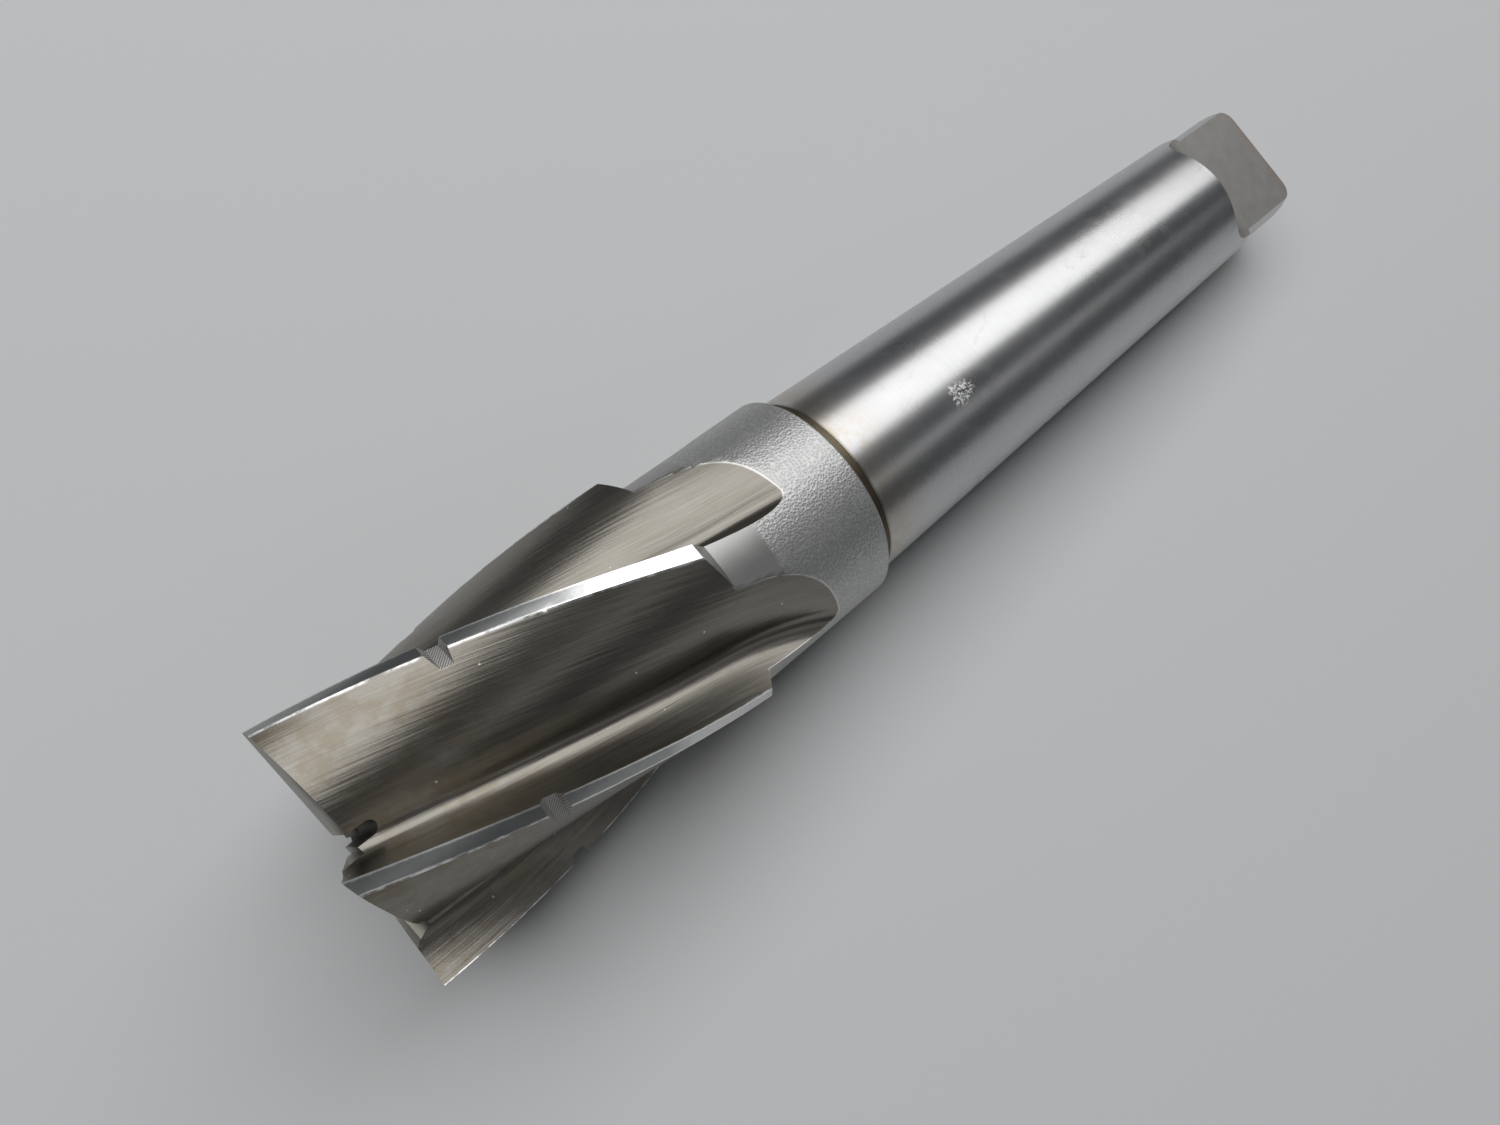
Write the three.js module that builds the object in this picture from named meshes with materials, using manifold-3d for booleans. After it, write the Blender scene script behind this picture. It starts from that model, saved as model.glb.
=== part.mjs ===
// A five-flute helical end mill on a Morse taper 4 shank with a drive tang, lying at rest.
//
// Tool frame, before the tool is laid down: Z runs along the axis from the end teeth to the
// tang, with the shoulder between neck and taper at Z = 0. Angles turn about +Z, and X points
// square out of the tang's upper flat. Lengths are in millimetres and angles in degrees.

import * as THREE from 'three';
import { mergeVertices } from 'three/addons/utils/BufferGeometryUtils.js';
import Module from 'manifold-3d';

const wasm = await Module();
wasm.setup();

// Head: the toothed length, the step behind the teeth and the plain neck
const TOOTH_COUNT = 5;
const PITCH_ANGLE = 360 / TOOTH_COUNT;
const CUTTER_RADIUS = 20;
const HEAD_LENGTH = 79.6;
const CUTTING_LENGTH = 53.2;
const STEP_LENGTH = 2;
const NECK_RADIUS = 17.4;
const NECK_CHAMFER = 0.4;
const HELIX_DEGREES_PER_MM = 1.015;
const FIRST_TOOTH_ANGLE = -64.7;

// Flute section, seen along the axis: a crowned tooth back that falls to a rounded root, and a
// hollow rake face that rises to the next tooth's cutting edge
const LAND_ANGLE = 6;
const ROOT_RADIUS = 12.2;
const ROOT_ANGLE = 66;
const ROOT_ROUNDING = 2;
const RAKE_ANGLE = 3;
const RAKE_HOOK = 4.5;
const BACK_CROWN = 3.9;
const BACK_CROWN_PLACE = 0.5;
const FLUTE_END = -9.4;
const FLUTE_STEPS = 42;

// Where the grinding wheel, set askew to the axis, leaves the flute on the neck
const RUN_OUT_START = -28.9;
const RUN_OUT_WHEEL_RADIUS = 41;
const RUN_OUT_ANGLE = 55.5;
const RUN_OUT_SKEW = 0.81;

// Chip-breaker notches, widest at the lands
const NOTCH_POSITION = -58;
const NOTCH_MOUTH = 2.8;
const NOTCH_FLOOR = 1.6;
const NOTCH_DEPTH = 1.1;

// End teeth: relieved faces, a slot in front of each and a centre hole
const END_DISH = 0.3;
const END_RELIEF_ANGLE = 12.5;
const END_TOOTH_GAP_ANGLE = 1;
const CENTRE_OVERLAP = 0.01;
const GASH_WIDTH = 1.9;
const GASH_DEPTH = 5.3;
const GASH_SET_BACK = 1.1;
const GASH_SLOPE = 14;
const GASH_LENGTH = 15.5;
const HEAD_CENTRE_RADIUS = 4;

// Friction weld between the high-speed steel head and the alloy steel shank
const JOINT_GAP = 0.3;
const WELD_LENGTH = 1.2;
const WELD_RADIUS = 15.7;

// Morse taper 4 with tang
const TAPER_LARGE_RADIUS = 15.8;
const TAPER_RATIO = 19.254;
const TAPER_END = 107.3;
const TAPER_END_CHAMFER = 0.6;
const TANG_END = 124;
const TANG_RADIUS = 12.25;
const TANG_HALF_THICKNESS = 5.95;
const TANG_END_ROUND = 2.5;
const TANG_RUN_OUT_RADIUS = 8;
const TANG_CENTRE_RADIUS = 3.2;

// Centre holes: 60 degree cones, with pilots in proportion to the mouth
const CENTRE_HALF_ANGLE = 30;
const PILOT_RADIUS_SHARE = 0.4;
const PILOT_DEPTH_SHARE = 1.5;

// Resting attitude: which side of the tool is on top, and how far the tang end hangs down
const TOP_ANGLE = -16.87;
const REST_TILT = 2.4;

const ROUND_SEGMENTS = 96;
const CENTRE_SEGMENTS = 32;
const CURVE_SEGMENTS = 5;
const CUT_MARGIN = 3;
const MERGE_DISTANCE = 1e-5;

const radians = THREE.MathUtils.degToRad;
const slope = (angle) => Math.tan(radians(angle));

function polar(radius, angle) {
  return new THREE.Vector2(radius * Math.cos(radians(angle)), radius * Math.sin(radians(angle)));
}

// Closed three.js geometry as a manifold solid, and a manifold solid as geometry
function solid(geometry) {
  const plain = geometry.clone();
  plain.deleteAttribute('normal');
  plain.deleteAttribute('uv');
  const merged = mergeVertices(plain, MERGE_DISTANCE);
  return new wasm.Manifold(new wasm.Mesh({
    numProp: 3,
    vertProperties: new Float32Array(merged.attributes.position.array),
    triVerts: new Uint32Array(merged.index.array),
  }));
}

function geometryOf(manifold) {
  const mesh = manifold.getMesh();
  const geometry = new THREE.BufferGeometry();
  geometry.setAttribute('position', new THREE.Float32BufferAttribute(mesh.vertProperties, 3));
  geometry.setIndex(new THREE.Uint32BufferAttribute(mesh.triVerts, 1));
  return geometry;
}

// Solid of revolution about Z from [radius, z] points, with the material on their left
function turned(points, segments = ROUND_SEGMENTS) {
  const profile = points.map(([radius, z]) => new THREE.Vector2(radius, z));
  const geometry = new THREE.LatheGeometry(profile, segments);
  geometry.rotateX(Math.PI / 2);
  return solid(geometry);
}

function shapeOf(points) {
  return new THREE.Shape(points.map(([x, y]) => new THREE.Vector2(x, y)));
}

function extruded(shape, depth, steps = 1) {
  return new THREE.ExtrudeGeometry(shape, {
    depth,
    steps,
    curveSegments: CURVE_SEGMENTS,
    bevelEnabled: false,
  });
}

// Angle of a tooth's cutting edge at a place along the tool
function toothAngle(index, z) {
  return FIRST_TOOTH_ANGLE + index * PITCH_ANGLE + HELIX_DEGREES_PER_MM * (z + HEAD_LENGTH);
}

function headBlank() {
  const front = -HEAD_LENGTH;
  const stepFront = front + CUTTING_LENGTH;
  return turned([
    [0, front + END_DISH],
    [CUTTER_RADIUS, front],
    [CUTTER_RADIUS, stepFront],
    [NECK_RADIUS, stepFront + STEP_LENGTH],
    [NECK_RADIUS, -NECK_CHAMFER],
    [NECK_RADIUS - NECK_CHAMFER, 0],
    [0, 0],
  ]);
}

// Section of the space between two teeth, with the leading tooth's edge at angle 0
function fluteShape() {
  const heel = polar(CUTTER_RADIUS, LAND_ANGLE);
  const root = polar(ROOT_RADIUS, ROOT_ANGLE);
  const edge = polar(CUTTER_RADIUS, PITCH_ANGLE);
  const rakeOut = polar(1, PITCH_ANGLE - RAKE_ANGLE);
  const backwards = root.clone().sub(heel).normalize();
  const crown = heel.clone().lerp(root, BACK_CROWN_PLACE);
  crown.add(new THREE.Vector2(backwards.y, -backwards.x).multiplyScalar(BACK_CROWN));
  const hook = edge.clone().addScaledVector(rakeOut, -RAKE_HOOK);
  const backFoot = crown.clone().sub(root).setLength(ROOT_ROUNDING).add(root);
  const rakeFoot = hook.clone().sub(root).setLength(ROOT_ROUNDING).add(root);

  const heelOut = heel.clone().sub(crown).setLength(CUT_MARGIN).add(heel);
  const edgeOut = edge.clone().addScaledVector(rakeOut, CUT_MARGIN);
  const outside = polar(CUTTER_RADIUS + 3 * CUT_MARGIN, (LAND_ANGLE + PITCH_ANGLE) / 2);
  const shape = new THREE.Shape();
  shape.moveTo(heelOut.x, heelOut.y);
  shape.lineTo(heel.x, heel.y);
  shape.quadraticCurveTo(crown.x, crown.y, backFoot.x, backFoot.y);
  shape.quadraticCurveTo(root.x, root.y, rakeFoot.x, rakeFoot.y);
  shape.quadraticCurveTo(hook.x, hook.y, edge.x, edge.y);
  shape.lineTo(edgeOut.x, edgeOut.y);
  shape.lineTo(outside.x, outside.y);
  return shape;
}

// How far a point has moved out of the tool where the grinding wheel leaves the flute. The
// wheel stands askew, so points further round the tool leave earlier.
function runOutLift(z, across) {
  const past = Math.max(0, z + RUN_OUT_SKEW * across - RUN_OUT_START);
  return RUN_OUT_WHEEL_RADIUS - Math.sqrt(RUN_OUT_WHEEL_RADIUS ** 2 - past ** 2);
}

function fluteCutter(index) {
  const start = -HEAD_LENGTH - CUT_MARGIN;
  const geometry = extruded(fluteShape(), FLUTE_END - start, FLUTE_STEPS);
  const position = geometry.attributes.position;
  const outwards = polar(1, RUN_OUT_ANGLE);
  const sideways = polar(1, RUN_OUT_ANGLE + 90);
  const axis = new THREE.Vector2();
  for (let i = 0; i < position.count; i += 1) {
    const z = start + position.getZ(i);
    const point = new THREE.Vector2(position.getX(i), position.getY(i));
    point.addScaledVector(outwards, runOutLift(z, point.dot(sideways)));
    point.rotateAround(axis, radians(toothAngle(index, z)));
    position.setXYZ(i, point.x, point.y, z);
  }
  return solid(geometry);
}

// Sector in front of the head, bounded behind by a tooth's relieved end face
function reliefCutter(index) {
  const reach = CUTTER_RADIUS + CUT_MARGIN;
  const corner = polar(reach, PITCH_ANGLE - END_TOOTH_GAP_ANGLE);
  const shape = shapeOf([
    [-CENTRE_OVERLAP, 0],
    [reach, 0],
    [reach, reach / 2],
    [corner.x, corner.y],
  ]);
  const geometry = extruded(shape, CUT_MARGIN);
  const position = geometry.attributes.position;
  for (let i = 0; i < position.count; i += 1) {
    if (position.getZ(i) > CUT_MARGIN / 2) {
      position.setZ(i, CUT_MARGIN + position.getY(i) * slope(END_RELIEF_ANGLE));
    }
  }
  geometry.rotateZ(radians(toothAngle(index, -HEAD_LENGTH)));
  geometry.translate(0, 0, -HEAD_LENGTH - CUT_MARGIN);
  return solid(geometry);
}

// Round-bottomed slot ground across the end, in front of a tooth and shallower at the centre
function gashCutter(index) {
  const half = GASH_WIDTH / 2;
  const section = new THREE.Shape();
  section.moveTo(half, CUT_MARGIN);
  section.lineTo(half, half - GASH_DEPTH);
  section.absarc(0, half - GASH_DEPTH, half, 0, -Math.PI, true);
  section.lineTo(-half, CUT_MARGIN);
  const geometry = extruded(section, GASH_LENGTH);
  geometry.rotateY(Math.PI / 2);
  geometry.rotateX(-Math.PI / 2);
  geometry.rotateY(radians(-GASH_SLOPE));
  geometry.translate(0, -GASH_SET_BACK - half, -ROOT_RADIUS * slope(GASH_SLOPE));
  geometry.rotateZ(radians(toothAngle(index, -HEAD_LENGTH)));
  geometry.translate(0, 0, -HEAD_LENGTH);
  return solid(geometry);
}

// Groove that breaks every tooth's edge at one place along the tool
function notchCutter() {
  const wallSpread = (NOTCH_MOUTH - NOTCH_FLOOR) / NOTCH_DEPTH;
  const halfMouth = (NOTCH_FLOOR + wallSpread * (NOTCH_DEPTH + CUT_MARGIN)) / 2;
  const halfFloor = NOTCH_FLOOR / 2;
  const outer = CUTTER_RADIUS + CUT_MARGIN;
  const floor = CUTTER_RADIUS - NOTCH_DEPTH;
  return turned([
    [outer, NOTCH_POSITION - halfMouth],
    [outer, NOTCH_POSITION + halfMouth],
    [floor, NOTCH_POSITION + halfFloor],
    [floor, NOTCH_POSITION - halfFloor],
    [outer, NOTCH_POSITION - halfMouth],
  ]);
}

// Centre hole with its mouth at a face and its pilot running in the given direction along Z
function centreCutter(mouthRadius, face, direction) {
  const pilot = mouthRadius * PILOT_RADIUS_SHARE;
  const coneDepth = (mouthRadius - pilot) / slope(CENTRE_HALF_ANGLE);
  const pilotDepth = coneDepth + mouthRadius * PILOT_DEPTH_SHARE;
  const points = [
    [0, face - direction],
    [mouthRadius + slope(CENTRE_HALF_ANGLE), face - direction],
    [pilot, face + direction * coneDepth],
    [pilot, face + direction * pilotDepth],
    [0, face + direction * (pilotDepth + pilot)],
  ];
  return turned(direction > 0 ? points : points.reverse(), CENTRE_SEGMENTS);
}

function cutterHead() {
  let head = headBlank();
  for (let i = 0; i < TOOTH_COUNT; i += 1) {
    head = head.subtract(fluteCutter(i)).subtract(reliefCutter(i)).subtract(gashCutter(i));
  }
  head = head.subtract(notchCutter());
  return head.subtract(centreCutter(HEAD_CENTRE_RADIUS, END_DISH - HEAD_LENGTH, 1));
}

function weldSeam() {
  const front = JOINT_GAP;
  const back = front + WELD_LENGTH;
  return turned([[0, front], [WELD_RADIUS, front], [WELD_RADIUS, back], [0, back]]);
}

function taperRadius(z) {
  return TAPER_LARGE_RADIUS - z / (2 * TAPER_RATIO);
}

function shankBlank() {
  const front = 2 * JOINT_GAP + WELD_LENGTH;
  const roundCentre = [TANG_RADIUS - TANG_END_ROUND, TANG_END - TANG_END_ROUND];
  const endRound = Array.from({ length: CURVE_SEGMENTS + 1 }, (_, i) => {
    const point = polar(TANG_END_ROUND, (90 * i) / CURVE_SEGMENTS);
    return [roundCentre[0] + point.x, roundCentre[1] + point.y];
  });
  return turned([
    [0, front],
    [taperRadius(front), front],
    [taperRadius(TAPER_END), TAPER_END],
    [TANG_RADIUS, TAPER_END + TAPER_END_CHAMFER],
    ...endRound,
    [0, TANG_END],
  ]);
}

// Space over the tang's +X flat, which a hollow as round as the milling cutter closes
function tangFlatCutter() {
  const reach = TAPER_LARGE_RADIUS + CUT_MARGIN;
  const arcCentre = TANG_HALF_THICKNESS + TANG_RUN_OUT_RADIUS;
  const shape = new THREE.Shape();
  shape.moveTo(TANG_HALF_THICKNESS, TANG_END + CUT_MARGIN);
  shape.lineTo(TANG_HALF_THICKNESS, TAPER_END);
  shape.absarc(arcCentre, TAPER_END, TANG_RUN_OUT_RADIUS, Math.PI, 1.5 * Math.PI, false);
  shape.lineTo(reach, TAPER_END - TANG_RUN_OUT_RADIUS);
  shape.lineTo(reach, TANG_END + CUT_MARGIN);
  const geometry = extruded(shape, 2 * reach);
  geometry.translate(0, 0, -reach);
  geometry.rotateX(Math.PI / 2);
  return geometry;
}

function taperShank() {
  const upper = tangFlatCutter();
  const lower = upper.clone().rotateZ(Math.PI);
  return shankBlank()
    .subtract(solid(upper))
    .subtract(solid(lower))
    .subtract(centreCutter(TANG_CENTRE_RADIUS, TANG_END, -1));
}

function steel(color, roughness) {
  return new THREE.MeshStandardMaterial({ color, roughness, metalness: 1 });
}

function piece(name, manifold, material) {
  const mesh = new THREE.Mesh(geometryOf(manifold), material);
  mesh.name = name;
  return mesh;
}

// Tool axis along +X with the tang end low, top side up, and the lowest point on the ground
function layDown(tool) {
  const turn = new THREE.Matrix4().makeRotationZ(radians(-TOP_ANGLE));
  const axes = new THREE.Matrix4().makeBasis(
    new THREE.Vector3(0, 0, 1),
    new THREE.Vector3(0, -1, 0),
    new THREE.Vector3(1, 0, 0),
  );
  const tilt = new THREE.Matrix4().makeRotationY(radians(REST_TILT));
  tool.quaternion.setFromRotationMatrix(tilt.multiply(axes).multiply(turn));
  tool.updateMatrixWorld(true);
  const box = new THREE.Box3().setFromObject(tool, true);
  const centre = box.getCenter(new THREE.Vector3());
  tool.position.set(-centre.x, -centre.y, -box.min.z);
}

const tool = new THREE.Group();
tool.add(
  piece('cutter_head', cutterHead(), steel(0x8b8880, 0.38)),
  piece('weld_seam', weldSeam(), steel(0x6d6459, 0.5)),
  piece('taper_shank', taperShank(), steel(0x9a9ca0, 0.28)),
);
layDown(tool);

export default tool;
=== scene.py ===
import math

import bmesh
import bpy
import numpy as np
from mathutils import Matrix, Vector


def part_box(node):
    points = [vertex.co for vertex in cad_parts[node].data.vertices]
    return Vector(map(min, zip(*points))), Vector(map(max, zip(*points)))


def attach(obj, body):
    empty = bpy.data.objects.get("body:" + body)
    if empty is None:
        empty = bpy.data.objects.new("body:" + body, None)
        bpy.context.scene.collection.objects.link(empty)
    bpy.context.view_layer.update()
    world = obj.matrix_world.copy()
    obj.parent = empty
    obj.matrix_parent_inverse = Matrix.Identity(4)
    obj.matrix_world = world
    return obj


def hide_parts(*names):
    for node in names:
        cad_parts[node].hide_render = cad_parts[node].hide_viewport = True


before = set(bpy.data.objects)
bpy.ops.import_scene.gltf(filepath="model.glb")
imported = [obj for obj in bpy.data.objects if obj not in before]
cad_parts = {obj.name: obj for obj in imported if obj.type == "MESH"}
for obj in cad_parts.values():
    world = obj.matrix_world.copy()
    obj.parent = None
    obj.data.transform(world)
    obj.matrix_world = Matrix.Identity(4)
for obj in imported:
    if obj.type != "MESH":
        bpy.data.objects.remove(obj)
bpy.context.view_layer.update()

# The tool frame, in millimetres: Z runs along the axis from the end teeth to the tang, with the
# shoulder between neck and taper at Z = 0. Angles turn about +Z, and X points square out of the
# tang's upper flat. The tool lies with its TOP_ANGLE side up and its tang end hanging down.
MM = 0.001
TOP_ANGLE = -16.87
REST_TILT = 2.4

# Head
TOOTH_COUNT = 5
PITCH_ANGLE = 360 / TOOTH_COUNT
CUTTER_RADIUS = 20
HEAD_FRONT = -79.6
LAND_END = -26.4
STEP_END = -24.4
NECK_RADIUS = 17.4
NECK_CHAMFER = 0.4
HELIX = 1.015
FIRST_TOOTH_ANGLE = -64.7
LAND_ANGLE = 6
ROOT_RADIUS = 12.2
ROOT_ANGLE = 66
ROOT_ROUNDING = 2
RAKE_ANGLE = 3
RAKE_HOOK = 4.5
BACK_CROWN = 3.9
BACK_CROWN_PLACE = 0.5
RUN_OUT_START = -28.9
RUN_OUT_WHEEL_RADIUS = 41
RUN_OUT_ANGLE = 55.5
RUN_OUT_SKEW = 0.81
FLUTE_END = -9.4
NOTCH_POSITION = -58
NOTCH_MOUTH = 2.8
NOTCH_FLOOR = 1.6
NOTCH_DEPTH = 1.1
END_DISH = 0.3
END_RELIEF_ANGLE = 12.5
END_TOOTH_GAP_ANGLE = 1
CENTRE_OVERLAP = 0.01
GASH_WIDTH = 1.9
GASH_DEPTH = 5.3
GASH_SET_BACK = 1.1
GASH_SLOPE = 14
GASH_LENGTH = 15.5
HEAD_CENTRE_RADIUS = 4

# Weld seam and shank
SEAM_RADIUS = 15.7
SEAM_MIDDLE = 0.9
SHANK_START = 1.8
TAPER_LARGE_RADIUS = 15.8
TAPER_RATIO = 19.254
TAPER_END = 107.3
TAPER_END_CHAMFER = 0.6
TANG_START = TAPER_END + TAPER_END_CHAMFER
TANG_END = 124
TANG_RADIUS = 12.25
TANG_HALF_THICKNESS = 5.95
TANG_END_ROUND = 2.5
TANG_RUN_OUT_RADIUS = 8
TANG_CENTRE_RADIUS = 3.2

# Centre holes: 60 degree cones, with pilots in proportion to the mouth
CENTRE_HALF_ANGLE = 30
PILOT_RADIUS_SHARE = 0.4
PILOT_DEPTH_SHARE = 1.5

# Finish and wear: where the neck's plain ground band ends, where the lands are brighter behind,
# where the brown stain near the tip lies, and the scuff on the shank
GROUND_BAND_END = -17.3
LAND_REAR_START = -44
LAND_REAR_FADE = 5
TIP_STAIN_START = -66
TIP_STAIN_END = -50
SCUFF_POSITION = 23.7
SCUFF_ANGLE = 6
SCUFF_RADIUS = 2.4

# Fineness of the meshes: segments round a circle, steps along curves, and steps in millimetres
# or degrees
ROUND_SEGMENTS = 240
HOLE_SEGMENTS = 64
BACK_STEPS = 36
ROOT_STEPS = 14
RAKE_STEPS = 16
FLUTE_STEP = 0.6
LONG_RING_STEP = 2.5
SHORT_RING_STEP = 2
GASH_ARC_STEP = 15
TANG_ARC_STEP = 4
TANG_END_ARC_STEP = 9
MARGIN = 3
SHARP_ANGLE = 28


def polar(radius, angle):
    return Vector((radius * math.cos(math.radians(angle)), radius * math.sin(math.radians(angle))))


def slope(angle):
    return math.tan(math.radians(angle))


def world_from_tool():
    """Matrix from tool millimetres to world metres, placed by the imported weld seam."""
    top = Matrix.Rotation(math.radians(-TOP_ANGLE), 4, "Z")
    axes = Matrix(((0, 0, 1, 0), (0, -1, 0, 0), (1, 0, 0, 0), (0, 0, 0, 1)))
    tilt = Matrix.Rotation(math.radians(REST_TILT), 4, "Y")
    turn = tilt @ axes @ top
    low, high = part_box("weld_seam")
    seam = Vector((0, 0, SEAM_MIDDLE * MM))
    return Matrix.Translation((low + high) / 2 - turn @ seam) @ turn @ Matrix.Scale(MM, 4)


TOOL = world_from_tool()


# ---------------------------------------------------------------- meshes


def mesh_object(name, points, faces, uvs=None):
    mesh = bpy.data.meshes.new(name)
    mesh.from_pydata(points, [], faces)
    if uvs is not None:
        layer = mesh.uv_layers.new(name="sweep")
        for loop in mesh.loops:
            layer.data[loop.index].uv = uvs[loop.vertex_index]
    grown = bmesh.new()
    grown.from_mesh(mesh)
    bmesh.ops.recalc_face_normals(grown, faces=grown.faces)
    grown.to_mesh(mesh)
    grown.free()
    piece = bpy.data.objects.new(name, mesh)
    bpy.context.scene.collection.objects.link(piece)
    return piece


def turned(name, profile, segments=ROUND_SEGMENTS):
    """Solid of revolution about Z from (radius, z) points that start and end on the axis."""
    points = [(0, 0, profile[0][1])]
    for radius, z in profile[1:-1]:
        for k in range(segments):
            spot = polar(radius, 360 * k / segments)
            points.append((spot.x, spot.y, z))
    points.append((0, 0, profile[-1][1]))
    rings = len(profile) - 2
    last = len(points) - 1
    faces = []
    for k in range(segments):
        after = (k + 1) % segments
        faces.append((0, 1 + after, 1 + k))
        for ring in range(rings - 1):
            low, high = 1 + ring * segments, 1 + (ring + 1) * segments
            faces.append((low + k, low + after, high + after, high + k))
        top = 1 + (rings - 1) * segments
        faces.append((top + k, top + after, last))
    return mesh_object(name, points, faces)


def swept(name, rings, uvs):
    """Solid through closed rings of points, all of one length, with flat ends."""
    count = len(rings[0])
    points = [tuple(point) for ring in rings for point in ring]
    faces = [tuple(range(count)), tuple(range(len(points) - count, len(points)))]
    for i in range(len(rings) - 1):
        for j in range(count):
            after = (j + 1) % count
            low, high = i * count, (i + 1) * count
            faces.append((low + j, low + after, high + after, high + j))
    return mesh_object(name, points, faces, uvs)


def along(start, end, step):
    """Even places from start to end, both included, about step apart."""
    count = max(1, round((end - start) / step))
    return [start + (end - start) * i / count for i in range(count + 1)]


def cut(target, cutters):
    """Takes the cutters out of the target and deletes them. Each cut keeps their material."""
    for cutter in cutters:
        change = target.modifiers.new(cutter.name, "BOOLEAN")
        change.operation = "DIFFERENCE"
        change.solver = "MANIFOLD"
        change.object = cutter
        change.material_mode = "TRANSFER"
    graph = bpy.context.evaluated_depsgraph_get()
    result = bpy.data.meshes.new_from_object(target.evaluated_get(graph))
    target.modifiers.clear()
    target.data = result
    for cutter in cutters:
        bpy.data.objects.remove(cutter)


def tooth_angle(index, z):
    return FIRST_TOOTH_ANGLE + index * PITCH_ANGLE + HELIX * (z - HEAD_FRONT)


def bezier(start, control, end, steps):
    """Points on a quadratic curve, without its first one."""
    points = []
    for i in range(1, steps + 1):
        t = i / steps
        points.append(start * (1 - t) ** 2 + control * (2 * t * (1 - t)) + end * t**2)
    return points


def flute_section():
    """Space between two teeth, with the leading edge at angle 0, and the length along its wall."""
    heel = polar(CUTTER_RADIUS, LAND_ANGLE)
    root = polar(ROOT_RADIUS, ROOT_ANGLE)
    edge = polar(CUTTER_RADIUS, PITCH_ANGLE)
    rake_out = polar(1, PITCH_ANGLE - RAKE_ANGLE)
    backwards = (root - heel).normalized()
    crown = heel.lerp(root, BACK_CROWN_PLACE) + Vector((backwards.y, -backwards.x)) * BACK_CROWN
    hook = edge - rake_out * RAKE_HOOK
    back_foot = root + (crown - root).normalized() * ROOT_ROUNDING
    rake_foot = root + (hook - root).normalized() * ROOT_ROUNDING
    wall = [heel + (heel - crown).normalized() * MARGIN, heel]
    wall += bezier(heel, crown, back_foot, BACK_STEPS)
    wall += bezier(back_foot, root, rake_foot, ROOT_STEPS)
    wall += bezier(rake_foot, hook, edge, RAKE_STEPS)
    wall.append(edge + rake_out * MARGIN)
    wall.append(polar(CUTTER_RADIUS + 3 * MARGIN, (LAND_ANGLE + PITCH_ANGLE) / 2))
    lengths = [0]
    for a, b in zip(wall, wall[1:]):
        lengths.append(lengths[-1] + (b - a).length)
    return wall, lengths


def run_out_lift(z, across):
    """How far a point has moved out of the tool where the askew grinding wheel leaves the flute."""
    past = max(0, z + RUN_OUT_SKEW * across - RUN_OUT_START)
    return RUN_OUT_WHEEL_RADIUS - math.sqrt(RUN_OUT_WHEEL_RADIUS**2 - past**2)


def flute_cutter(index):
    wall, lengths = flute_section()
    outwards, sideways = polar(1, RUN_OUT_ANGLE), polar(1, RUN_OUT_ANGLE + 90)
    rings, uvs = [], []
    for z in along(HEAD_FRONT - MARGIN, FLUTE_END, FLUTE_STEP):
        turn = Matrix.Rotation(math.radians(tooth_angle(index, z)), 2)
        ring = []
        for point, length in zip(wall, lengths):
            spot = turn @ (point + outwards * run_out_lift(z, point.dot(sideways)))
            ring.append((spot.x, spot.y, z))
            uvs.append((length, z))
        rings.append(ring)
    return swept(f"flute_{index}", rings, uvs)


def relief_cutter(index):
    """Sector in front of the head, bounded behind by a tooth's relieved end face."""
    reach = CUTTER_RADIUS + MARGIN
    corner = polar(reach, PITCH_ANGLE - END_TOOTH_GAP_ANGLE)
    base = [(-CENTRE_OVERLAP, 0), (reach, 0), (reach, reach / 2), (corner.x, corner.y)]
    turn = Matrix.Rotation(math.radians(tooth_angle(index, HEAD_FRONT)), 2)
    rings = [[], []]
    for x, y in base:
        spot = turn @ Vector((x, y))
        rings[0].append((spot.x, spot.y, HEAD_FRONT - MARGIN))
        rings[1].append((spot.x, spot.y, HEAD_FRONT + y * slope(END_RELIEF_ANGLE)))
    return swept(f"relief_{index}", rings, [(0, 0)] * (2 * len(base)))


def gash_cutter(index):
    """Round-bottomed slot across the end, in front of a tooth and shallower at the centre."""
    half = GASH_WIDTH / 2
    section = [(half, MARGIN)]
    for angle in along(0, 180, GASH_ARC_STEP):
        spot = polar(half, angle)
        section.append((spot.x, half - GASH_DEPTH - spot.y))
    section.append((-half, MARGIN))
    place = (
        Matrix.Translation((0, 0, HEAD_FRONT))
        @ Matrix.Rotation(math.radians(tooth_angle(index, HEAD_FRONT)), 4, "Z")
        @ Matrix.Translation((0, -GASH_SET_BACK - half, -ROOT_RADIUS * slope(GASH_SLOPE)))
        @ Matrix.Rotation(math.radians(-GASH_SLOPE), 4, "Y")
    )
    rings = [[place @ Vector((x, across, -up)) for across, up in section] for x in (0, GASH_LENGTH)]
    return swept(f"gash_{index}", rings, [(0, 0)] * (2 * len(section)))


def ring_cutter(name, profile, segments=ROUND_SEGMENTS):
    """Closed (radius, z) profile, clear of the axis, turned into a ring."""
    rings = []
    for radius, z in profile:
        spots = [polar(radius, 360 * k / segments) for k in range(segments)]
        rings.append([(spot.x, spot.y, z) for spot in spots])
    points = [point for ring in rings for point in ring]
    faces = []
    for i in range(len(rings)):
        for k in range(segments):
            low, high = i * segments, (i + 1) % len(rings) * segments
            after = (k + 1) % segments
            faces.append((low + k, low + after, high + after, high + k))
    return mesh_object(name, points, faces)


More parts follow.
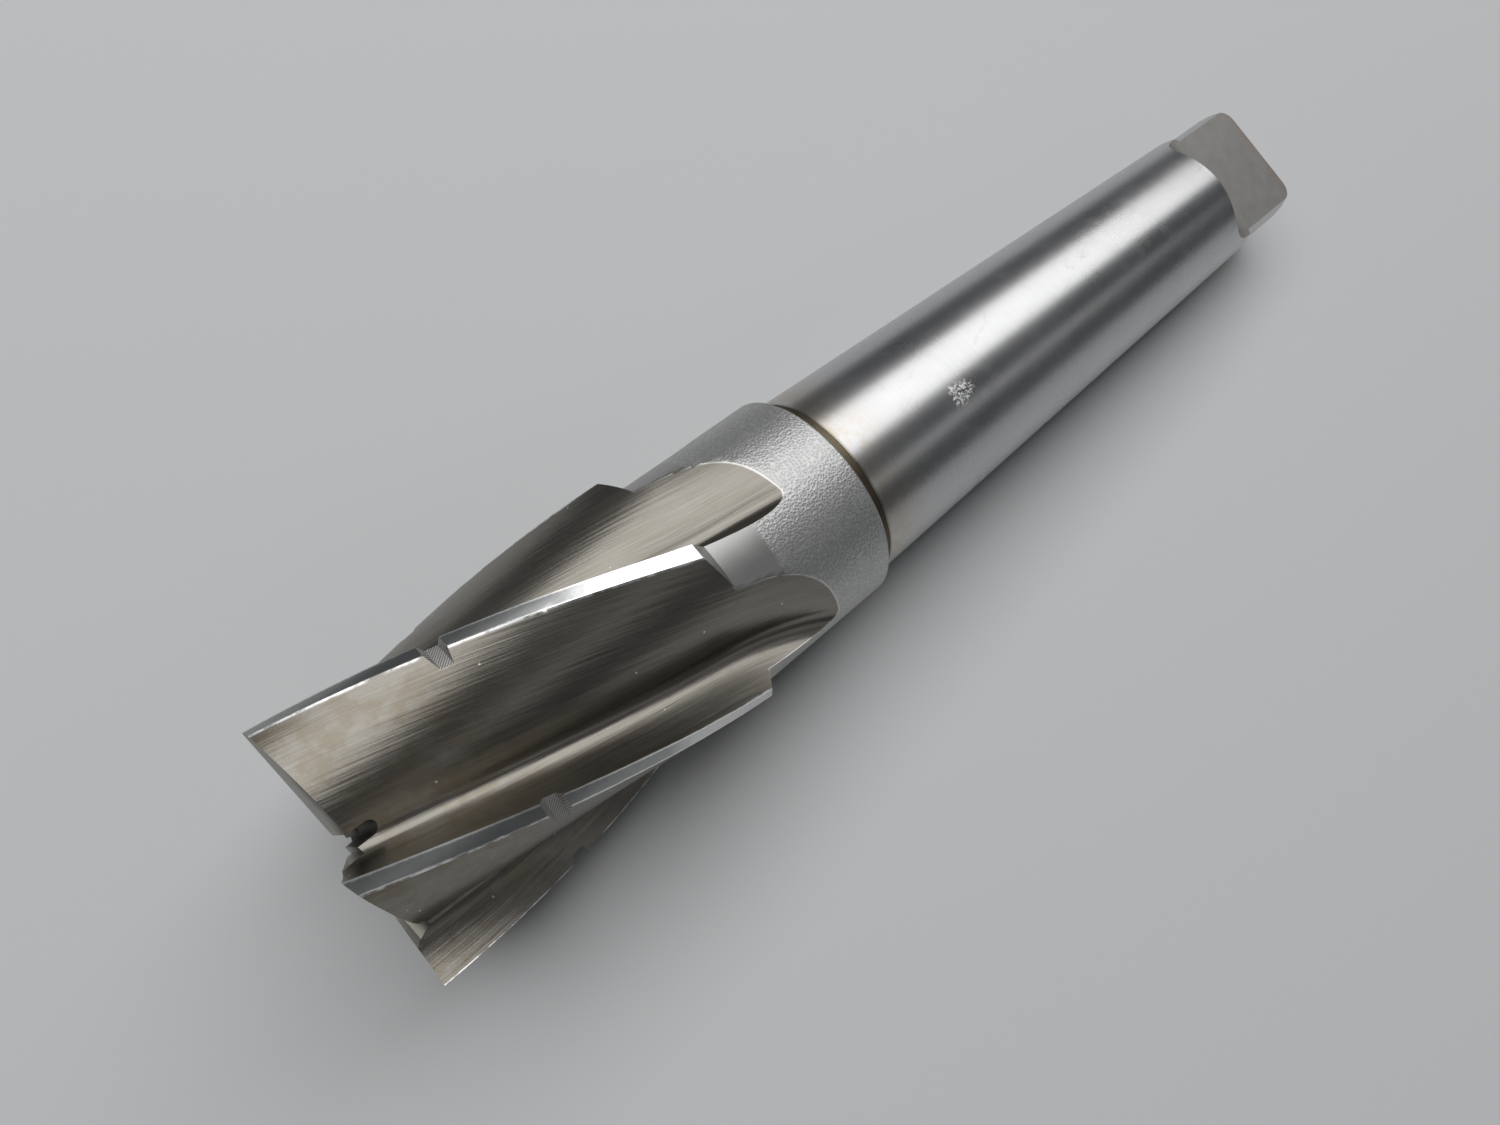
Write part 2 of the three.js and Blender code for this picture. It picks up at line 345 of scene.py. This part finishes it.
def notch_cutter():
    spread = (NOTCH_MOUTH - NOTCH_FLOOR) / NOTCH_DEPTH
    half_mouth = (NOTCH_FLOOR + spread * (NOTCH_DEPTH + MARGIN)) / 2
    outer, floor = CUTTER_RADIUS + MARGIN, CUTTER_RADIUS - NOTCH_DEPTH
    return ring_cutter("notch", [
        (outer, NOTCH_POSITION - half_mouth),
        (outer, NOTCH_POSITION + half_mouth),
        (floor, NOTCH_POSITION + NOTCH_FLOOR / 2),
        (floor, NOTCH_POSITION - NOTCH_FLOOR / 2),
    ])


def centre_cutter(name, mouth, face, direction):
    pilot = mouth * PILOT_RADIUS_SHARE
    cone = (mouth - pilot) / slope(CENTRE_HALF_ANGLE)
    depth = cone + mouth * PILOT_DEPTH_SHARE
    return turned(name, [
        (0, face - direction),
        (mouth + slope(CENTRE_HALF_ANGLE), face - direction),
        (pilot, face + direction * cone),
        (pilot, face + direction * depth),
        (0, face + direction * (depth + pilot)),
    ], HOLE_SEGMENTS)


def finish_piece(piece, body, node):
    """Keeps the tool coordinates for the materials and sets the piece in the world."""
    mesh = piece.data
    bpy.context.view_layer.update()
    count = len(mesh.vertices)
    spots = np.empty(count * 3, np.float32)
    mesh.vertices.foreach_get("co", spots)
    kept = mesh.attributes.new("tool", "FLOAT_VECTOR", "POINT")
    kept.data.foreach_set("vector", spots)
    mesh.shade_smooth()
    mesh.set_sharp_from_angle(angle=math.radians(SHARP_ANGLE))
    mesh.transform(TOOL)
    mesh.update()
    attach(piece, body)
    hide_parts(node)


# ---------------------------------------------------------------- materials


class Wire:
    """A number from a node's socket, which Python arithmetic carries through math nodes."""

    def __init__(self, shade, socket):
        self.shade, self.socket = shade, socket

    def __add__(self, other):
        return self.shade.math("ADD", self, other)

    def __sub__(self, other):
        return self.shade.math("SUBTRACT", self, other)

    def __mul__(self, other):
        return self.shade.math("MULTIPLY", self, other)

    def __truediv__(self, other):
        return self.shade.math("DIVIDE", self, other)

    def __rsub__(self, other):
        return self.shade.math("SUBTRACT", other, self)

    __radd__ = __add__
    __rmul__ = __mul__


class Shade:
    """One material's nodes, with the tool coordinates that its patterns follow."""

    def __init__(self, name):
        self.material = bpy.data.materials.new(name)
        self.material.use_nodes = True
        self.tree = self.material.node_tree
        self.surface = self.tree.nodes["Principled BSDF"]
        self.surface.inputs["Metallic"].default_value = 1.0
        self.vector = self.attribute("tool")
        split = self.node("ShaderNodeSeparateXYZ", self.vector)
        self.x, self.y, self.z = (Wire(self, out) for out in split.outputs)
        self.radius = self.math("SQRT", self.x * self.x + self.y * self.y)
        self.turn = self.math("ARCTAN2", self.y, self.x) * (180 / math.pi)
        self.phase = self.math(
            "WRAP", self.turn - (self.z - HEAD_FRONT) * HELIX - FIRST_TOOTH_ANGLE, PITCH_ANGLE, 0
        )

    def node(self, kind, *values, **settings):
        made = self.tree.nodes.new(kind)
        for name, value in settings.items():
            setattr(made, name, value)
        for place, value in enumerate(values):
            if value is not None:
                self.feed(made.inputs[place], value)
        return made

    def feed(self, socket, value):
        if isinstance(value, Wire):
            value = value.socket
        if isinstance(value, bpy.types.NodeSocket):
            self.tree.links.new(value, socket)
        else:
            socket.default_value = value

    def math(self, operation, *values):
        made = self.node("ShaderNodeMath", *values, operation=operation)
        return Wire(self, made.outputs[0])

    def attribute(self, name):
        return self.node("ShaderNodeAttribute", attribute_name=name).outputs["Vector"]

    def place(self, x, y, z):
        return self.node("ShaderNodeCombineXYZ", x, y, z).outputs[0]

    def noise(self, vector, scale, detail=3.0, roughness=0.55):
        made = self.node("ShaderNodeTexNoise")
        self.feed(made.inputs["Vector"], vector)
        made.inputs["Scale"].default_value = scale
        made.inputs["Detail"].default_value = detail
        made.inputs["Roughness"].default_value = roughness
        return Wire(self, made.outputs["Fac"])

    def streaks(self, x, y, z, detail, roughness=0.55):
        """Noise whose grains are one unit of x by one of y by one of z."""
        return self.noise(self.place(x, y, z), 1.0, detail, roughness)

    def cells(self, vector, scale):
        made = self.node("ShaderNodeTexVoronoi")
        self.feed(made.inputs["Vector"], vector)
        made.inputs["Scale"].default_value = scale
        return Wire(self, made.outputs["Distance"])

    def step(self, value, low, high):
        """0 below low and 1 above high, or the other way round where low is the higher."""
        made = self.node("ShaderNodeMapRange", interpolation_type="SMOOTHSTEP")
        start, end = (low, high) if low < high else (high, low)
        ends = (0.0, 1.0) if low < high else (1.0, 0.0)
        for place, given in enumerate((value, start, end, *ends)):
            self.feed(made.inputs[place], given)
        return Wire(self, made.outputs[0])

    def mix(self, share, first, second):
        made = self.node("ShaderNodeMix", data_type="RGBA")
        self.feed(made.inputs["Factor"], share)
        for name, value in (("A", first), ("B", second)):
            socket = [s for s in made.inputs if s.name == name and s.type == "RGBA"][0]
            self.feed(socket, value if not isinstance(value, tuple) else (*value, 1.0))
        return [s for s in made.outputs if s.type == "RGBA"][0]

    def most(self, first, second):
        return self.math("MAXIMUM", first, second)

    def bump(self, height, strength, distance, under=None):
        made = self.node("ShaderNodeBump")
        made.inputs["Strength"].default_value = strength
        made.inputs["Distance"].default_value = distance
        self.feed(made.inputs["Height"], height)
        if under is not None:
            self.feed(made.inputs["Normal"], under)
        return made.outputs["Normal"]

    def done(self, color, roughness, normal):
        self.feed(self.surface.inputs["Base Color"], color)
        self.feed(self.surface.inputs["Roughness"], roughness)
        self.feed(self.surface.inputs["Normal"], normal)
        return self.material


def flute_steel():
    """Ground flutes: warm grey steel with lines along the helix, and bright rims where wear has
    rounded the edges, their highlights painted into the colour.
    """
    s = Shade("flute_steel")
    sweep = s.node("ShaderNodeUVMap", uv_map="sweep").outputs[0]
    split = s.node("ShaderNodeSeparateXYZ", sweep)
    across, down = Wire(s, split.outputs[0]), Wire(s, split.outputs[1])
    fine = s.streaks(across * 7, down * 0.12, s.turn * 0.02, detail=4, roughness=0.65)
    broad = s.streaks(across * 1.3, down * 0.035, s.turn * 0.02, detail=3)
    patch = s.noise(s.vector, scale=0.07, detail=4, roughness=0.6)
    blotch = s.noise(s.vector, scale=0.5, detail=4, roughness=0.6)
    color = s.mix(patch, (0.16, 0.147, 0.122), (0.28, 0.265, 0.235))
    streak = s.streaks(across * 5, down * 0.04, s.turn * 0.02, detail=5, roughness=0.7)
    color = s.mix(s.step(fine, 0.35, 0.75) * 0.3, color, (0.42, 0.41, 0.385))
    color = s.mix(s.step(streak, 0.5, 0.68) * 0.28, color, (0.10, 0.093, 0.078))
    color = s.mix(s.step(blotch, 0.55, 0.8) * 0.35, color, (0.17, 0.145, 0.11))
    tip = s.step(s.z + (blotch - 0.5) * 16, TIP_STAIN_END, TIP_STAIN_START)
    stain = tip * s.step(s.noise(s.vector, scale=0.22, detail=5, roughness=0.65), 0.42, 0.6)
    color = s.mix(stain * 0.45, color, (0.165, 0.135, 0.09))
    # Rims at the lands and at the neck's edge, rounded by wear and lightened to near white: painted
    # highlights.
    rim = s.step(s.radius, CUTTER_RADIUS - 0.22, CUTTER_RADIUS - 0.05)
    neck_rim = s.step(s.radius, NECK_RADIUS - 0.14, NECK_RADIUS - 0.03)
    neck_rim = neck_rim * s.step(s.z, STEP_END - 0.4, STEP_END)
    worn_edge_highlight = s.most(rim * s.step(blotch, 0.35, 0.6), neck_rim * 0.55)
    color = s.mix(worn_edge_highlight, color, (0.86, 0.86, 0.85))
    speck = s.step(s.cells(s.vector, scale=0.28), 0.055, 0.03)
    color = s.mix(speck * 0.7, color, (0.9, 0.9, 0.88))
    rough = 0.23 + 0.12 * patch + 0.08 * fine
    normal = s.bump(fine, strength=0.35, distance=0.00002)
    normal = s.bump(streak, strength=0.25, distance=0.00002, under=normal)
    normal = s.bump(broad, strength=0.4, distance=0.00012, under=normal)
    return s.done(color, rough, normal)


def head_steel():
    """Lands, step, ground band and blasted neck, told apart by their place along the tool."""
    s = Shade("head_steel")
    grain = s.noise(s.vector, scale=3, detail=3, roughness=0.6)
    dents = s.cells(s.vector, scale=2.7)
    patch = s.noise(s.vector, scale=0.09, detail=4, roughness=0.6)
    mottle = s.noise(s.vector, scale=0.8, detail=4, roughness=0.65)
    hoops = s.streaks(s.turn * 0.03, s.radius, s.z * 9, detail=3, roughness=0.6)
    land = s.step(s.radius, CUTTER_RADIUS - 0.3, CUTTER_RADIUS - 0.1)
    neck = s.step(s.radius, NECK_RADIUS + 0.15, NECK_RADIUS + 0.03)
    ragged = s.z + (mottle - 0.5) * 0.6
    blasted = neck * s.step(ragged, GROUND_BAND_END - 0.25, GROUND_BAND_END + 0.25)
    color = s.mix(patch, (0.36, 0.355, 0.345), (0.47, 0.47, 0.46))
    color = s.mix(land * mottle, color, (0.30, 0.31, 0.32))
    rear = s.z + (mottle - 0.5) * 5
    rear = s.step(rear, LAND_REAR_START, LAND_REAR_START + LAND_REAR_FADE) * land
    color = s.mix(rear * 0.7, color, (0.78, 0.78, 0.77))
    color = s.mix(blasted, color, s.mix(dents, (0.36, 0.36, 0.355), (0.58, 0.58, 0.575)))
    stripe = (s.math("WRAP", s.phase, PITCH_ANGLE / 2, -PITCH_ANGLE / 2)) * (math.pi / 180)
    edge = s.math("ABSOLUTE", stripe * CUTTER_RADIUS)
    heel = s.math("ABSOLUTE", (stripe - math.radians(LAND_ANGLE)) * CUTTER_RADIUS)
    ragged_edge = edge + (s.noise(s.vector, scale=1.4, detail=3) - 0.5) * 0.3
    ragged_heel = heel + (s.noise(s.vector, scale=1.1, detail=3) - 0.5) * 0.3
    # Cutting edges and heels of the lands, rounded by wear and lightened to near white: painted
    # highlights.
    worn_edge_highlight = s.most(s.step(ragged_edge, 0.34, 0.12), s.step(ragged_heel, 0.22, 0.08)) * land
    color = s.mix(worn_edge_highlight, color, (0.9, 0.9, 0.89))
    rough = 0.36 + 0.1 * patch - 0.08 * land + 0.06 * blasted
    soft = s.bump(hoops * (1 - blasted), strength=0.25, distance=0.00002)
    pebbles = s.bump((dents + grain * 0.5) * blasted, strength=0.5, distance=0.0001, under=soft)
    return s.done(color, rough, pebbles)


def end_steel():
    """Relieved end faces, slots and centre holes: plainly ground, and darker, to near black, where
    they lie deeper behind the front end.
    """
    s = Shade("end_steel")
    patch = s.noise(s.vector, scale=0.15, detail=4, roughness=0.6)
    lines = s.streaks(s.x * 0.3, s.y * 6, s.z * 6, detail=3, roughness=0.6)
    color = s.mix(patch, (0.19, 0.178, 0.152), (0.33, 0.315, 0.28))
    # Darker, rougher and near black where the surface lies about 1 to 2.6 mm or more behind the
    # front end.
    deep_end_darkening = s.step(s.z + (patch - 0.5) * 2, HEAD_FRONT + 1, HEAD_FRONT + 2.6)
    color = s.mix(deep_end_darkening * 0.85, color, (0.04, 0.037, 0.032))
    rough = 0.34 + 0.14 * lines + 0.25 * deep_end_darkening
    return s.done(color, rough, s.bump(lines, strength=0.3, distance=0.00003))


def notch_steel():
    """Rough-cut notch walls with hatch lines across them."""
    s = Shade("notch_steel")
    hatch = s.math("SINE", (s.turn * 0.35 + s.z) * 14) * 0.5 + 0.5
    grain = s.noise(s.vector, scale=3, detail=3, roughness=0.6)
    color = s.mix(hatch, (0.25, 0.245, 0.235), (0.5, 0.49, 0.47))
    rough = 0.5 + 0.15 * grain
    return s.done(color, rough, s.bump(hatch * 0.6 + grain, strength=0.6, distance=0.00008))


def seam_steel():
    """Weld line, browned by heat and turned flush with the taper."""
    s = Shade("seam_steel")
    patch = s.noise(s.vector, scale=0.3, detail=4, roughness=0.6)
    color = s.mix(patch, (0.075, 0.06, 0.042), (0.15, 0.125, 0.09))
    rough = 0.36 + 0.12 * patch
    return s.done(color, rough, s.bump(patch, strength=0.3, distance=0.00005))


def shank_steel():
    """Finely ground taper with pits, scratches, a scuff and a brown stain at the shoulder."""
    s = Shade("shank_steel")
    fine = s.streaks(s.turn * 0.02, s.radius * 0.1, s.z * 8, detail=4, roughness=0.65)
    bands = s.streaks(s.turn * 0.01, s.radius * 0.1, s.z * 0.6, detail=3, roughness=0.6)
    patch = s.noise(s.vector, scale=0.06, detail=4, roughness=0.6)
    smear = s.noise(s.vector, scale=0.35, detail=5, roughness=0.65)
    color = s.mix(patch, (0.43, 0.43, 0.435), (0.54, 0.54, 0.545))
    color = s.mix(s.step(fine, 0.4, 0.8) * 0.3, color, (0.64, 0.64, 0.64))
    stain = s.step(s.z + (smear - 0.5) * 14, 13, 3) * s.step(smear, 0.3, 0.6)
    color = s.mix(stain * 0.45, color, (0.42, 0.34, 0.22))
    # Painted shadow: a thin dark line on the taper where it meets the weld seam.
    line = s.step(s.z, SHANK_START + 0.5, SHANK_START + 0.1)
    color = s.mix(line * 0.7, color, (0.22, 0.19, 0.15))
    pits = s.step(s.cells(s.vector, scale=0.6), 0.1, 0.05) * s.step(smear, 0.56, 0.68)
    color = s.mix(pits * 0.7, color, (0.30, 0.29, 0.28))
    drift = s.streaks(s.turn * 0.05 + s.z * 0.08, 0, s.z * 0.03, detail=1)
    scratch = s.step(s.math("ABSOLUTE", drift - 0.5), 0.004, 0.001) * s.step(smear, 0.45, 0.6)
    color = s.mix(scratch * 0.3, color, (0.32, 0.31, 0.3))
    aside = (s.turn - SCUFF_ANGLE) * (math.pi / 180 * TAPER_LARGE_RADIUS)
    ahead = s.z - SCUFF_POSITION
    reach = s.math("SQRT", aside * aside + ahead * ahead)
    flakes = s.step(s.noise(s.vector, scale=2.4, detail=4, roughness=0.7), 0.49, 0.54)
    scuff = s.step(reach + (smear - 0.5) * 5, SCUFF_RADIUS, SCUFF_RADIUS - 0.8) * flakes
    color = s.mix(scuff, color, (0.93, 0.93, 0.92))
    rough = 0.24 + 0.08 * patch + 0.06 * s.step(smear, 0.5, 0.8) + 0.1 * pits + 0.3 * scuff
    normal = s.bump(fine, strength=0.3, distance=0.000012)
    normal = s.bump(bands, strength=0.25, distance=0.00003, under=normal)
    normal = s.bump(1 - pits, strength=0.2, distance=0.00002, under=normal)
    return s.done(color, rough, normal)


def tang_steel():
    """Milled tang flats: even, dull and warm grey, browner at the rim."""
    s = Shade("tang_steel")
    grain = s.noise(s.vector, scale=2.2, detail=4, roughness=0.6)
    patch = s.noise(s.vector, scale=0.3, detail=4, roughness=0.65)
    side_rim = s.step(s.math("ABSOLUTE", s.y) + (grain - 0.5), 10.4, 12.3)
    rim = s.most(side_rim, s.step(s.z + (grain - 0.5), TANG_END - 2.2, TANG_END - 0.2))
    color = s.mix(patch, (0.22, 0.212, 0.2), (0.38, 0.37, 0.355))
    color = s.mix(rim * 0.7, color, (0.33, 0.25, 0.215))
    color = s.mix(grain * 0.3, color, (0.42, 0.41, 0.4))
    rough = 0.52 + 0.1 * grain
    return s.done(color, rough, s.bump(grain, strength=0.5, distance=0.00004))


# ---------------------------------------------------------------- pieces


def skin(objects, material):
    for one in objects:
        one.data.materials.append(material)
    return objects


def milling_head():
    head = turned("milling_head", [
        (0, HEAD_FRONT + END_DISH),
        (CUTTER_RADIUS, HEAD_FRONT),
        *[(CUTTER_RADIUS, z) for z in along(HEAD_FRONT, LAND_END, LONG_RING_STEP)[1:]],
        *[(NECK_RADIUS, z) for z in along(STEP_END, -NECK_CHAMFER, SHORT_RING_STEP)],
        (NECK_RADIUS - NECK_CHAMFER, 0),
        (0, 0),
    ])
    skin([head], head_steel())
    teeth = range(TOOTH_COUNT)
    flutes = skin([flute_cutter(k) for k in teeth], flute_steel())
    ends = [relief_cutter(k) for k in teeth] + [gash_cutter(k) for k in teeth]
    ends.append(centre_cutter("head_centre", HEAD_CENTRE_RADIUS, HEAD_FRONT + END_DISH, 1))
    skin(ends, end_steel())
    notches = skin([notch_cutter()], notch_steel())
    cut(head, flutes + ends + notches)
    finish_piece(head, "root", "cutter_head")
    return head


def friction_weld():
    seam = turned("friction_weld", [
        (0, 0),
        (SEAM_RADIUS, 0),
        (SEAM_RADIUS, SHANK_START),
        (0, SHANK_START),
    ])
    skin([seam], seam_steel())
    finish_piece(seam, "root", "weld_seam")
    return seam


def taper_radius(z):
    return TAPER_LARGE_RADIUS - z / (2 * TAPER_RATIO)


def tang_flat_cutter(side):
    reach = TAPER_LARGE_RADIUS + MARGIN
    centre = TANG_HALF_THICKNESS + TANG_RUN_OUT_RADIUS
    outline = [(TANG_HALF_THICKNESS, TANG_END + MARGIN)]
    for angle in along(180, 270, TANG_ARC_STEP):
        spot = polar(TANG_RUN_OUT_RADIUS, angle)
        outline.append((centre + spot.x, TAPER_END + spot.y))
    outline.append((reach, TAPER_END - TANG_RUN_OUT_RADIUS))
    outline.append((reach, TANG_END + MARGIN))
    rings = [[(side * x, y, z) for x, z in outline] for y in (-reach, reach)]
    return swept("tang_flat", rings, [(0, 0)] * (2 * len(outline)))


def morse_shank():
    corner = (TANG_RADIUS - TANG_END_ROUND, TANG_END - TANG_END_ROUND)
    round_end = [polar(TANG_END_ROUND, angle) for angle in along(0, 90, TANG_END_ARC_STEP)]
    shank = turned("morse_shank", [
        (0, SHANK_START),
        *[(taper_radius(z), z) for z in along(SHANK_START, TAPER_END, LONG_RING_STEP)],
        *[(TANG_RADIUS, z) for z in along(TANG_START, corner[1], SHORT_RING_STEP)[:-1]],
        *[(corner[0] + spot.x, corner[1] + spot.y) for spot in round_end],
        (0, TANG_END),
    ])
    ground = shank_steel()
    skin([shank], ground)
    flats = skin([tang_flat_cutter(1), tang_flat_cutter(-1)], tang_steel())
    centre = skin([centre_cutter("tang_centre", TANG_CENTRE_RADIUS, TANG_END, -1)], ground)
    cut(shank, flats + centre)
    finish_piece(shank, "root", "taper_shank")
    return shank


milling_head()
friction_weld()
morse_shank()


# ---------------------------------------------------------------- surroundings

# A pale floor and two softboxes hung a metre above it, in world metres
FLOOR_HALF_SIZE = 4.0
FLOOR_COLOR = (0.55, 0.555, 0.56, 1)
FLOOR_ROUGHNESS = 0.8
SOFTBOX_CENTRE = (0.5, 0.37, 1.0)
SOFTBOX_SIZE = (3.0, 1.08)
SOFTBOX_RADIANCE = 2.0
STRIP_CENTRE = (0.8, -1.3, 1.0)
STRIP_SIZE = (3.2, 0.6)
STRIP_RADIANCE = 0.45
ROOM_COLOR = (0.9, 0.95, 1.0, 1)
ROOM_STRENGTH = 0.07


def floor():
    half = FLOOR_HALF_SIZE
    corners = [(-half, -half, 0), (half, -half, 0), (half, half, 0), (-half, half, 0)]
    ground = mesh_object("floor", corners, [(0, 1, 2, 3)])
    material = bpy.data.materials.new("pale_floor")
    material.use_nodes = True
    surface = material.node_tree.nodes["Principled BSDF"]
    surface.inputs["Base Color"].default_value = FLOOR_COLOR
    surface.inputs["Roughness"].default_value = FLOOR_ROUGHNESS
    ground.data.materials.append(material)


def area_light(name, centre, size, radiance):
    light = bpy.data.lights.new(name, "AREA")
    light.shape = "RECTANGLE"
    light.size, light.size_y = size
    light.energy = radiance * math.pi * size[0] * size[1]
    lamp = bpy.data.objects.new(name, light)
    lamp.location = centre
    bpy.context.scene.collection.objects.link(lamp)


def surroundings():
    floor()
    area_light("overhead_softbox", SOFTBOX_CENTRE, SOFTBOX_SIZE, SOFTBOX_RADIANCE)
    area_light("side_strip", STRIP_CENTRE, STRIP_SIZE, STRIP_RADIANCE)
    world = bpy.data.worlds.new("room")
    world.use_nodes = True
    world.node_tree.nodes["Background"].inputs["Color"].default_value = ROOM_COLOR
    world.node_tree.nodes["Background"].inputs["Strength"].default_value = ROOM_STRENGTH
    bpy.context.scene.world = world


# Camera, in the tool frame: close to the head and looking steeply down
CAMERA_SPOT = (129.241, 3.099, -66.212)
CAMERA_RIGHT = (0.29253, 0.61706, 0.73053)
CAMERA_DOWN = (-0.23634, 0.7869, -0.57003)
CAMERA_LENS = 22.44
SENSOR_WIDTH = 36
NEAREST_SEEN = 0.01


def camera():
    turn = TOOL.to_3x3().normalized()
    right = turn @ Vector(CAMERA_RIGHT)
    up = -(turn @ Vector(CAMERA_DOWN))
    up = (up - right * up.dot(right)).normalized()
    back = right.cross(up)
    made = bpy.data.cameras.new("camera")
    made.lens = CAMERA_LENS
    made.sensor_width = SENSOR_WIDTH
    made.clip_start = NEAREST_SEEN
    eye = bpy.data.objects.new("camera", made)
    eye.matrix_world = Matrix.Translation(TOOL @ Vector(CAMERA_SPOT)) @ Matrix(
        (right, up, back)
    ).transposed().to_4x4()
    bpy.context.scene.collection.objects.link(eye)
    bpy.context.scene.camera = eye


surroundings()
camera()
bpy.context.scene.view_settings.view_transform = "Standard"
